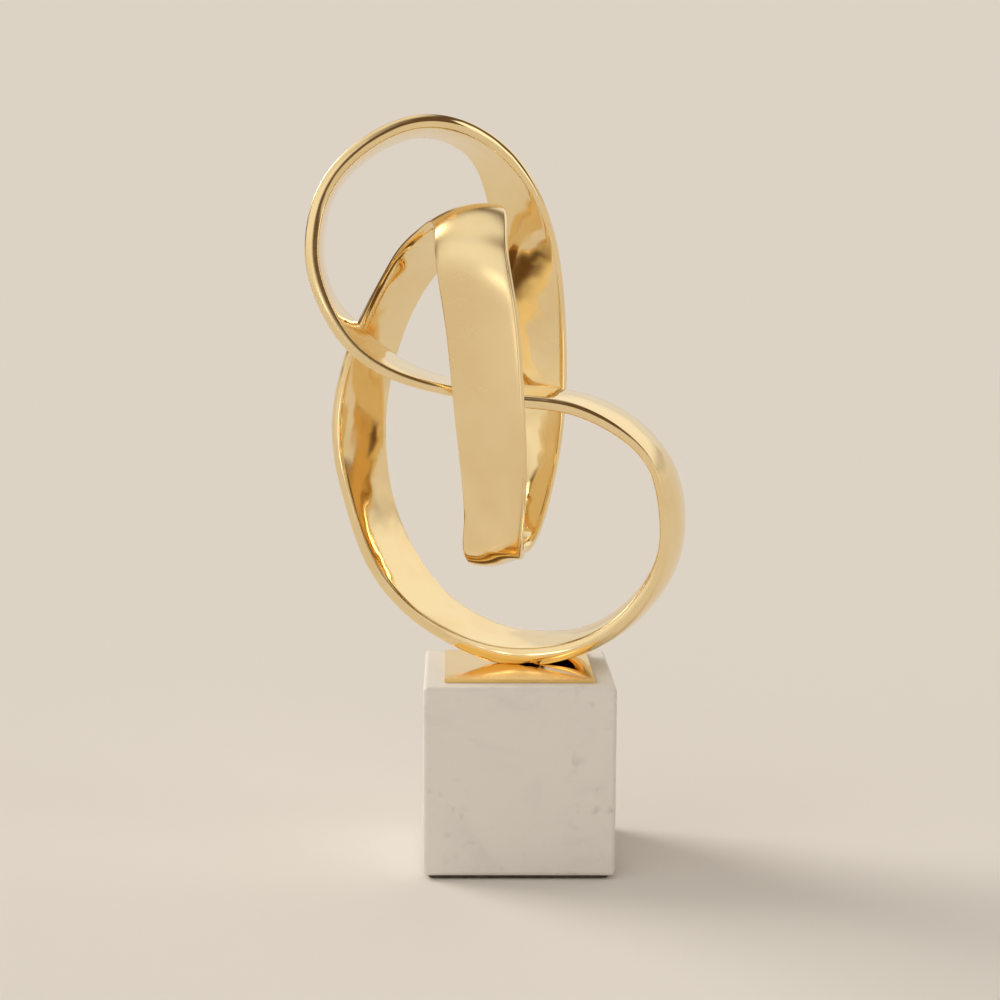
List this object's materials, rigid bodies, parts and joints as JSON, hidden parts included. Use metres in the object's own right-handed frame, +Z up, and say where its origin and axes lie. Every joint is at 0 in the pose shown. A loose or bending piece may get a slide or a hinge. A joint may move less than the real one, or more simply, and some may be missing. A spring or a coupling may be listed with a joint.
{
  "type": "knot sculpture",
  "caption": "Polished metal band tied in a closed trefoil knot, standing on a thin square plate on a white marble cube.",
  "frame": {"origin": "the middle of the underside, on the face that rests on the table", "axes": "+Z up through the block and the knot, -Y towards the front of the sculpture, +X to its right as seen from the front"},
  "size_m": [0.2023, 0.114, 0.3941],
  "materials": {
    "band_gold": "polished, with satin wide faces",
    "plate_gold": "polished",
    "marble": "honed white marble",
    "felt": "felt",
    "steel": "zinc plated"
  },
  "bodies": {
    "root": {"knot_band": "band_gold", "mounting_plate": "plate_gold", "marble_block": "marble", "base_felt": "felt", "threaded_rod": "steel", "wide_washer": "steel", "spring_washer": "steel", "hex_nut": "steel"}
  },
  "joints": []
}
